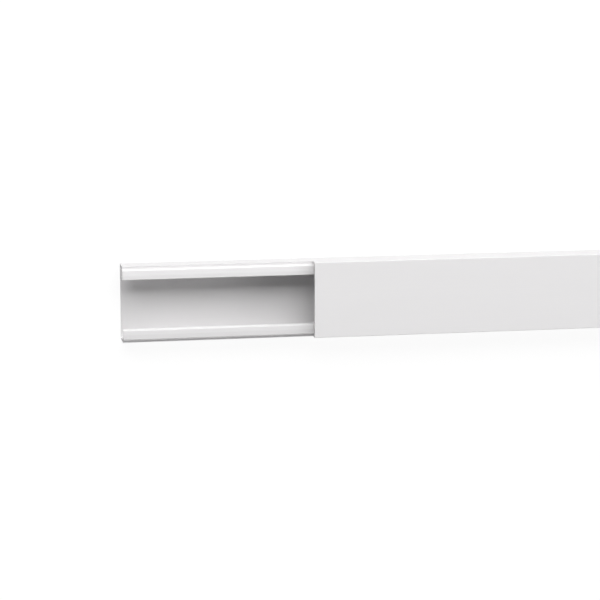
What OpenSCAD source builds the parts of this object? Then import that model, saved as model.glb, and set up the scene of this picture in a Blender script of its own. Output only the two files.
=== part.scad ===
// Mini cable trunking: a U-shaped base channel with hooked lips and a flat clip-on cover.
// X runs along the stock, Y across it and Z away from the wall it is fixed to.
// The origin is the middle of the flat back face of the base.

/* [Stock] */
// Length that both pieces are cut to
stock_length = 1000; // [400:50:3000]
// Length of base left bare at the near end, with the cover slid along
bare_length = 100; // [0:10:200]

/* [Section] */
// Width across the closed trunking
section_w = 40; // [36:1:60]
// Depth of the closed trunking, back face to cover face
section_h = 16; // [15.5:0.5:20]
// Thickness of the side walls
wall_t = 1.2; // [1:0.1:1.4]
// Thickness of the back
back_t = 1.3; // [1:0.1:1.6]
// Thickness of the ledge that the cover sides stand over
ledge_t = 1.1; // [0.9:0.1:1.3]
// Running clearance between cover and base
clear = 0.2; // [0.15:0.05:0.25]
// Rounding of the small edges
edge_r = 0.15; // [0.1:0.05:0.15]
// Rounding of the inside corners
corner_r = 0.4; // [0.2:0.1:0.5]

/* [Cover] */
// Thickness of the cover face
cover_t = 1.4; // [1.2:0.1:1.6]
// Thickness of the cover sides
side_t = 1.1; // [1:0.1:1.3]
// Depth of the cover sides from the face
side_depth = 5.2; // [5:0.1:5.6]
// Thickness of the hook along the edge of each side
hook_t = 0.5; // [0.4:0.1:0.6]
// Overlap of the hook behind the barb
hook_reach = 0.5; // [0.3:0.1:0.6]
// Rounding of the long front edges
face_r = 0.4; // [0.2:0.1:0.6]

/* [Lips] */
// Wall thickness of the lips
lip_t = 1; // [0.8:0.1:1.1]
// Width of the flat part of a lip front
lip_flat = 2.2; // [1.8:0.1:2.6]
// Width of the outer part of a lip front, which falls away a little
crown_run = 2.4; // [2:0.1:2.6]
// Fall of that outer part
crown_drop = 0.3; // [0.1:0.05:0.4]
// Distance of the flat part behind the inside of the cover
lip_gap = 1; // [0.7:0.1:1.2]
// Run of the slanted lead-in outside the front, measured across the trunking
lead_run = 0.8; // [0.5:0.1:0.9]
// Height of the blunt tip of the barb
barb_t = 0.3; // [0.2:0.1:0.4]
// Depth of the inner leg, measured back from the flat part
leg_depth = 4; // [3:0.1:6]
// Lean of the inner leg towards the middle
leg_lean = 0.3; // [0.2:0.1:0.9]
// Rounding of the outside edges of the lips
lip_r = 0.25; // [0.15:0.05:0.3]

/* [Hidden] */
half_w = section_w / 2;
// heights above the back face
side_end = section_h - side_depth;
hook_top = side_end + hook_t;
ledge_z = side_end - clear;
ledge_under = ledge_z - ledge_t;
barb_under = hook_top + clear;
barb_top = barb_under + barb_t;
cover_in = section_h - cover_t;
lip_front = cover_in - lip_gap;
lip_edge = lip_front - crown_drop;
lip_under = lip_front - lip_t;
leg_end = lip_front - leg_depth;
// distances from the middle plane
wall_in = half_w - wall_t;
side_in = half_w - side_t;
barb_y = side_in - clear;
hook_y = barb_y - hook_reach;
neck_y = hook_y - clear;
neck_in = neck_y - lip_t;
lead_y = barb_y - lead_run;
flat_out = lead_y - crown_run;
flat_in = flat_out - lip_flat;
leg_y = flat_in - leg_lean;
// width of the leaning leg and the inner corner at its root, for a leg one lip thickness thick
leg_shift = lip_t * norm([leg_lean, leg_depth]) / leg_depth;
leg_root = flat_in + leg_shift - lip_t * leg_lean / leg_depth;
// segments in each rounding
arc_n = 5;

// the arc that rounds corner p, between the edges towards a and b
function unit(v) = v / norm(v);
function arc(a, p, b, r) =
  let (u = unit(a - p), v = unit(b - p))
  let (turn = acos(u * v), sweep = 180 - turn)
  let (c = p + unit(u + v) * r / sin(turn / 2))
  let (d = (p + u * r / tan(turn / 2) - c), e = (p + v * r / tan(turn / 2) - c))
  [for (i = [0:arc_n]) c + (d * sin(sweep * (1 - i / arc_n)) + e * sin(sweep * i / arc_n)) / sin(sweep)];

// an outline from corners [y, z, rounding], with the mirror image of the list after it
function flat(c) = [c[0], c[1]];
function both_sides(half) =
  concat(half, [for (i = [len(half) - 1:-1:0]) [-half[i][0], half[i][1], half[i][2]]]);
function rounded(pts) =
  let (n = len(pts))
  [for (i = [0:n - 1]) each arc(flat(pts[(i + n - 1) % n]), flat(pts[i]), flat(pts[(i + 1) % n]), pts[i][2])];

module stock(half, start) {
  translate([start, 0, 0])
    rotate([90, 0, 90])
      linear_extrude(stock_length)
        polygon(rounded(both_sides(half)));
}

// half of the base section, from the back edge round the lip to the inside of the back
base_half = [
  [half_w, 0, lip_r],
  [half_w, ledge_z, edge_r],
  [neck_y, ledge_z, edge_r],
  [neck_y, barb_under, edge_r],
  [barb_y, barb_under, edge_r],
  [barb_y, barb_top, edge_r],
  [lead_y, lip_edge, lip_r],
  [flat_out, lip_front, crown_run],
  [flat_in, lip_front, lip_r],
  [leg_y, leg_end, lip_r],
  [leg_y + leg_shift, leg_end, lip_r],
  [leg_root, lip_under, corner_r],
  [neck_in, lip_under, corner_r],
  [neck_in, ledge_under, lip_r],
  [wall_in, ledge_under, corner_r],
  [wall_in, back_t, corner_r],
];

// half of the cover section, from the front edge round the side to the inside of the face
cover_half = [
  [half_w, section_h, face_r],
  [half_w, side_end, edge_r],
  [hook_y, side_end, edge_r],
  [hook_y, hook_top, edge_r],
  [side_in, hook_top, edge_r],
  [side_in, cover_in, corner_r],
];

module base() {
  color("white")
    stock(base_half, -stock_length / 2);
}

module cover() {
  color("whitesmoke")
    stock(cover_half, bare_length - stock_length / 2);
}

base();
cover();
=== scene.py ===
import math

import bpy
from mathutils import Euler, Matrix

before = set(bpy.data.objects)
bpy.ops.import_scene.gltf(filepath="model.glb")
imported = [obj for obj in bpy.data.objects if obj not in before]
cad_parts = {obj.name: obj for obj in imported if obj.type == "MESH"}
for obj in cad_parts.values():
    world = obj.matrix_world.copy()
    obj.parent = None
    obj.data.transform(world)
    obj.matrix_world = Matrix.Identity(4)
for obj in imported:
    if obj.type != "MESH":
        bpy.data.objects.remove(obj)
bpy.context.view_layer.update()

bl_info = {
    "name": "Mini cable trunking",
    "version": (1, 0, 0),
    "blender": (4, 5, 0),
    "location": "3D View > Sidebar > Trunking",
    "description": "Finishes the extruded base and cover of a mini cable trunking and sets its studio",
    "category": "Object",
}

# the plastic's unevenness, in features to the metre along X, Y and Z
DIE_LINES_ALONG = 0.6
MELT_CLOUDS = (9.0, 70.0, 70.0)
SKIN_GRAIN = (2600.0, 2600.0, 2600.0)
SAW_MARKS = (1.0, 260.0, 2600.0)
SAW_SLANT = math.radians(24.0)
NOISE_MIDDLE = 0.5
# a face is a cut end where the X part of its normal is more than this
CUT_END_FACING = 0.9
# darkest and palest shades of the skin and of a cut end, as shares of the plastic's colour
SKIN_SHADES = (0.985, 1.015)
SAWN_SHADES = (0.84, 1.06)
CLOUD_TONE = 0.9
# how far each kind of unevenness swings the roughness
DIE_LINE_SWING = 0.2
CLOUD_SWING = 0.08
GRAIN_SWING = 0.06
SAW_SWING = 0.2
CUT_END_ROUGHNESS = 0.62
# heights of the grain and the saw marks, as shares of the die lines' height
GRAIN_HEIGHT = 0.12
SAW_HEIGHT = 4.0
PVC_IOR = 1.53

# the camera's place and its turn about X, Y and Z, in degrees
CAMERA_PLACE = (-0.59055, 0.18109, 1.02572)
CAMERA_TURN = (-9.971, -10.263, -0.063)
CAMERA_REACH = 100.0
SENSOR_MM = 36.0

FLOOR_SIZE = 60.0
FLOOR_DROP = 0.0002
# the floor's grey to light that bounces, and its grey and own glow to the camera
FLOOR_BOUNCE = 0.2
FLOOR_FAINT = 0.16
FLOOR_GLOW = 0.9

# each soft light's tilt from straight above to +Y, in degrees, and its depth
HIGH_TILT = 50.0
HIGH_DEPTH = 1.1
LOW_TILT = -68.0
LOW_DEPTH = 0.5
SOFTBOX_LENGTH = 2.6
SOFTBOX_DISTANCE = 1.5
LIT_PLACE = (-0.25, 0.0, 0.0)
# the end glow is full up to one rise over the floor and gone at the next, both as sines
GLOW_FULL_RISE = 0.3
GLOW_END_RISE = 0.55
# its share beyond the bare end
GLOW_BEHIND = 0.12

# sockets of a colour Mix node, which has several of the same name
MIX_FACTOR = 0
MIX_FIRST = 6
MIX_SECOND = 7
MIX_COLOUR = 2


class Wire:
    """A shader socket that arithmetic can be done on; each step adds a Math node."""

    def __init__(self, tree, socket):
        self.tree = tree
        self.socket = socket

    def math(self, operation, *others):
        return self.tree.node("ShaderNodeMath", {"operation": operation}, [self, *others])

    def __add__(self, other):
        return self.math("ADD", other)

    def __sub__(self, other):
        return self.math("SUBTRACT", other)

    def __mul__(self, other):
        return self.math("MULTIPLY", other)

    def __rsub__(self, other):
        return self.tree.node("ShaderNodeMath", {"operation": "SUBTRACT"}, [other, self])

    __radd__ = __add__
    __rmul__ = __mul__


class Tree:
    """The node tree of one material or of the world."""

    def __init__(self, owner):
        owner.use_nodes = True
        self.tree = owner.node_tree
        self.tree.nodes.clear()

    def node(self, kind, settings=None, inputs=None, output=0):
        """Adds a node: its settings first, then the values or links of its sockets."""
        made = self.tree.nodes.new(kind)
        for name, value in (settings or {}).items():
            setattr(made, name, value)
        pairs = inputs.items() if isinstance(inputs, dict) else enumerate(inputs or ())
        for key, value in pairs:
            if isinstance(value, Wire):
                self.tree.links.new(value.socket, made.inputs[key])
            else:
                made.inputs[key].default_value = value
        if not made.outputs:
            return None
        return Wire(self, made.outputs[output])

    def mix_colour(self, factor, first, second):
        """The first colour where the factor is 0, the second where it is 1."""
        settings = {"data_type": "RGBA", "blend_type": "MIX"}
        inputs = {MIX_FACTOR: factor, MIX_FIRST: first, MIX_SECOND: second}
        return self.node("ShaderNodeMix", settings, inputs, MIX_COLOUR)


def grey(level):
    return (level, level, level, 1.0)


def shades(colour, shares):
    """The colour at each of the shares, none of its parts over 1."""
    return [(*(min(1.0, part * share) for part in colour), 1.0) for share in shares]


def between(first, second, share):
    """The first value where the share is 0, the second where it is 1."""
    return first + (second - first) * share


class TrunkingFinish(bpy.types.PropertyGroup):
    """What a user would change on the plastic."""

    base_colour: bpy.props.FloatVectorProperty(
        name="Base colour", description="Colour of the extruded base",
        subtype="COLOR", size=3, min=0.0, max=1.0, default=(0.86, 0.85, 0.855))
    cover_colour: bpy.props.FloatVectorProperty(
        name="Cover colour", description="Colour of the extruded cover",
        subtype="COLOR", size=3, min=0.0, max=1.0, default=(0.86, 0.85, 0.855))
    roughness: bpy.props.FloatProperty(
        name="Roughness", description="Mean roughness of the satin skin",
        subtype="FACTOR", min=0.0, max=1.0, default=0.58)
    die_line_pitch: bpy.props.FloatProperty(
        name="Die line pitch", description="Mean distance between the fine lines that the die leaves",
        unit="LENGTH", min=0.0002, max=0.01, default=0.0005)
    die_line_depth: bpy.props.FloatProperty(
        name="Die line depth", description="Height of those lines",
        unit="LENGTH", min=0.0, max=0.0002, default=0.00002)


class TrunkingStudio(bpy.types.PropertyGroup):
    """What a user would change on the camera and the lights."""

    lens: bpy.props.FloatProperty(
        name="Lens", description="Focal length of the camera",
        subtype="DISTANCE_CAMERA", min=20.0, max=400.0, default=120.0)
    high_power: bpy.props.FloatProperty(
        name="High light", description="Power of the broad soft light beyond the upper edge of the picture",
        subtype="POWER", min=0.0, max=500.0, default=28.5)
    low_power: bpy.props.FloatProperty(
        name="Low light", description="Power of the weak soft light beyond the lower edge of the picture",
        subtype="POWER", min=0.0, max=500.0, default=5.0)
    glow_strength: bpy.props.FloatProperty(
        name="End glow", description="Strength of the soft glow low beyond the right end of the stock",
        min=0.0, max=50.0, default=5.6)
    sky_level: bpy.props.FloatProperty(
        name="Sky", description="Strength of the even light from all round",
        subtype="FACTOR", min=0.0, max=2.0, default=0.02)


def unevenness(tree, place, density, octaves, fade, slant=0.0):
    """Noise about 0, with so many features to the metre, turned by the slant about X."""
    where = tree.node(
        "ShaderNodeMapping", {}, {"Vector": place, "Rotation": (slant, 0.0, 0.0), "Scale": density})
    noise = tree.node(
        "ShaderNodeTexNoise", {"noise_dimensions": "3D"},
        {"Vector": where, "Scale": 1.0, "Detail": octaves, "Roughness": fade})
    return noise - NOISE_MIDDLE


def cut_end_mask(tree):
    """1 on the cut ends, which face along X, and 0 on the extruded skin."""
    normal = tree.node("ShaderNodeNewGeometry", output="Normal")
    along = tree.node("ShaderNodeSeparateXYZ", {}, {"Vector": normal}, "X")
    return along.math("ABSOLUTE").math("GREATER_THAN", CUT_END_FACING)


def pvc_material(name, colour, finish):
    """Satin white rigid PVC: fine die lines along the extrusion, and cut ends with saw marks."""
    material = bpy.data.materials.new(name)
    tree = Tree(material)
    place = tree.node("ShaderNodeTexCoord", output="Object")
    cut_end = cut_end_mask(tree)

    # die lines run along X, so their pattern hardly changes that way
    across = 1 / finish.die_line_pitch
    die_lines = unevenness(tree, place, (DIE_LINES_ALONG, across, across), octaves=3.0, fade=0.55)
    # the melt is slowly uneven along the stock
    clouds = unevenness(tree, place, MELT_CLOUDS, octaves=2.0, fade=0.5)
    grain = unevenness(tree, place, SKIN_GRAIN, octaves=2.0, fade=0.6)
    saw_marks = unevenness(tree, place, SAW_MARKS, octaves=3.0, fade=0.6, slant=SAW_SLANT)

    skin_tone = die_lines + clouds * CLOUD_TONE + NOISE_MIDDLE
    skin = tree.mix_colour(skin_tone, *shades(colour, SKIN_SHADES))
    sawn = tree.mix_colour(saw_marks + NOISE_MIDDLE, *shades(colour, SAWN_SHADES))

    skin_swing = die_lines * DIE_LINE_SWING + clouds * CLOUD_SWING + grain * GRAIN_SWING
    skin_rough = finish.roughness + skin_swing
    sawn_rough = CUT_END_ROUGHNESS + saw_marks * SAW_SWING

    skin_height = die_lines + grain * GRAIN_HEIGHT
    sawn_height = saw_marks * SAW_HEIGHT
    relief = tree.node(
        "ShaderNodeBump", {},
        {"Strength": 1.0, "Distance": finish.die_line_depth,
         "Height": between(skin_height, sawn_height, cut_end)})

    surface = tree.node(
        "ShaderNodeBsdfPrincipled", {},
        {"Base Color": tree.mix_colour(cut_end, skin, sawn),
         "Roughness": between(skin_rough, sawn_rough, cut_end),
         "Normal": relief, "IOR": PVC_IOR})
    tree.node("ShaderNodeOutputMaterial", {}, {"Surface": surface})
    return material


def finish_node(name, material):
    """Gives a solid of the frame its finish, in the one slot that it has."""
    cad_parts[name].data.materials[0] = material


class TRUNKING_OT_base(bpy.types.Operator):
    """Finish the extruded base channel"""

    bl_idname = "trunking.base"
    bl_label = "Base channel"

    def execute(self, context):
        finish = context.scene.trunking_finish
        finish_node("base", pvc_material("base satin pvc", finish.base_colour, finish))
        return {"FINISHED"}


class TRUNKING_OT_cover(bpy.types.Operator):
    """Finish the extruded clip-on cover"""

    bl_idname = "trunking.cover"
    bl_label = "Clip-on cover"

    def execute(self, context):
        finish = context.scene.trunking_finish
        finish_node("cover", pvc_material("cover satin pvc", finish.cover_colour, finish))
        return {"FINISHED"}


def put_in_scene(name, data):
    """A new object of the scene that holds the data."""
    made = bpy.data.objects.new(name, data)
    bpy.context.scene.collection.objects.link(made)
    return made


def photo_camera(lens):
    """The camera at the photograph's viewing angle."""
    camera = bpy.data.cameras.new("photo camera")
    camera.sensor_width = SENSOR_MM
    camera.lens = lens
    camera.clip_end = CAMERA_REACH
    holder = put_in_scene("photo camera", camera)
    turn = Euler([math.radians(angle) for angle in CAMERA_TURN]).to_matrix().to_4x4()
    holder.matrix_world = Matrix.Translation(CAMERA_PLACE) @ turn
    return holder


def seen_directly(tree):
    """1 for what the camera sees, directly, mirrored or through something, else 0."""
    camera, glossy, through = (
        tree.node("ShaderNodeLightPath", output=ray)
        for ray in ("Is Camera Ray", "Is Glossy Ray", "Is Transmission Ray"))
    return camera.math("MAXIMUM", glossy).math("MAXIMUM", through)


def floor_material():
    """White to the camera, with the object's shadow left on it, and grey to light that bounces."""
    material = bpy.data.materials.new("white floor")
    tree = Tree(material)
    bounce = tree.node("ShaderNodeBsdfDiffuse", {}, {"Color": grey(FLOOR_BOUNCE)})
    faint = tree.node("ShaderNodeBsdfDiffuse", {}, {"Color": grey(FLOOR_FAINT)})
    glow = tree.node("ShaderNodeEmission", {}, {"Color": grey(1.0), "Strength": FLOOR_GLOW})
    bright = tree.node("ShaderNodeAddShader", {}, [faint, glow])
    surface = tree.node("ShaderNodeMixShader", {}, [seen_directly(tree), bounce, bright])
    tree.node("ShaderNodeOutputMaterial", {}, {"Surface": surface})
    return material


def studio_floor():
    """A wide level floor just under the object."""
    half = FLOOR_SIZE / 2
    corners = [(-half, -half), (half, -half), (half, half), (-half, half)]
    mesh = bpy.data.meshes.new("floor")
    mesh.from_pydata([(x, y, -FLOOR_DROP) for x, y in corners], [], [(0, 1, 2, 3)])
    mesh.materials.append(floor_material())
    return put_in_scene("floor", mesh)


def softbox(name, tilt, depth, power):
    """A long soft light parallel to the stock, tilted by so many degrees from straight above to +Y."""
    lamp = bpy.data.lights.new(name, "AREA")
    lamp.shape = "RECTANGLE"
    lamp.size = SOFTBOX_LENGTH
    lamp.size_y = depth
    lamp.energy = power
    swing = Matrix.Rotation(math.radians(-tilt), 4, "X")
    reach = Matrix.Translation((0, 0, SOFTBOX_DISTANCE))
    put_in_scene(name, lamp).matrix_world = Matrix.Translation(LIT_PLACE) @ swing @ reach


def end_glow(tree):
    """The share of the glow in each direction: most beyond the +X end, a little beyond the -X end."""
    direction = tree.node("ShaderNodeTexCoord", output="Generated")
    along, rise = (
        tree.node("ShaderNodeSeparateXYZ", {}, {"Vector": direction}, axis) for axis in ("X", "Z"))
    low = tree.node(
        "ShaderNodeMapRange", {"interpolation_type": "SMOOTHSTEP"},
        {"Value": rise, "From Min": GLOW_FULL_RISE, "From Max": GLOW_END_RISE, "To Min": 1.0, "To Max": 0.0})
    ahead = along.math("MAXIMUM", 0.0)
    behind = (along * -1.0).math("MAXIMUM", 0.0)
    return low * (ahead * ahead + behind * GLOW_BEHIND)


def studio_sky(sky_level, glow_strength):
    """White to the camera, and to all other rays a dim sky with the end glow low in it."""
    world = bpy.data.worlds.new("studio")
    tree = Tree(world)
    dim, glow, white = (
        tree.node("ShaderNodeBackground", {}, {"Color": grey(1.0), "Strength": strength})
        for strength in (sky_level, glow_strength, 1.0))
    lit = tree.node("ShaderNodeMixShader", {}, [end_glow(tree), dim, glow])
    sky = tree.node("ShaderNodeMixShader", {}, [seen_directly(tree), lit, white])
    tree.node("ShaderNodeOutputWorld", {}, {"Surface": sky})
    return world


class TRUNKING_OT_stage(bpy.types.Operator):
    """Set the camera, the floor, the lights and the sky"""

    bl_idname = "trunking.stage"
    bl_label = "Stage"

    def execute(self, context):
        scene = context.scene
        studio = scene.trunking_studio
        scene.view_settings.view_transform = "Standard"
        scene.camera = photo_camera(studio.lens)
        studio_floor()
        softbox("high light", HIGH_TILT, HIGH_DEPTH, studio.high_power)
        softbox("low light", LOW_TILT, LOW_DEPTH, studio.low_power)
        scene.world = studio_sky(studio.sky_level, studio.glow_strength)
        return {"FINISHED"}


class TRUNKING_PT_panel(bpy.types.Panel):
    """Lists the pieces of the trunking and its studio"""

    bl_idname = "TRUNKING_PT_panel"
    bl_label = "Mini cable trunking"
    bl_space_type = "VIEW_3D"
    bl_region_type = "UI"
    bl_category = "Trunking"

    def draw(self, context):
        layout = self.layout
        for operator in OPERATORS:
            layout.operator(operator.bl_idname)
        for group in (context.scene.trunking_finish, context.scene.trunking_studio):
            for name in group.__annotations__:
                layout.prop(group, name)


OPERATORS = (TRUNKING_OT_base, TRUNKING_OT_cover, TRUNKING_OT_stage)
CLASSES = (TrunkingFinish, TrunkingStudio, *OPERATORS, TRUNKING_PT_panel)


def register():
    for cls in CLASSES:
        bpy.utils.register_class(cls)
    bpy.types.Scene.trunking_finish = bpy.props.PointerProperty(type=TrunkingFinish)
    bpy.types.Scene.trunking_studio = bpy.props.PointerProperty(type=TrunkingStudio)


def unregister():
    del bpy.types.Scene.trunking_studio
    del bpy.types.Scene.trunking_finish
    for cls in reversed(CLASSES):
        bpy.utils.unregister_class(cls)


def main():
    register()
    bpy.ops.trunking.base()
    bpy.ops.trunking.cover()
    bpy.ops.trunking.stage()


if __name__ == "__main__":
    main()
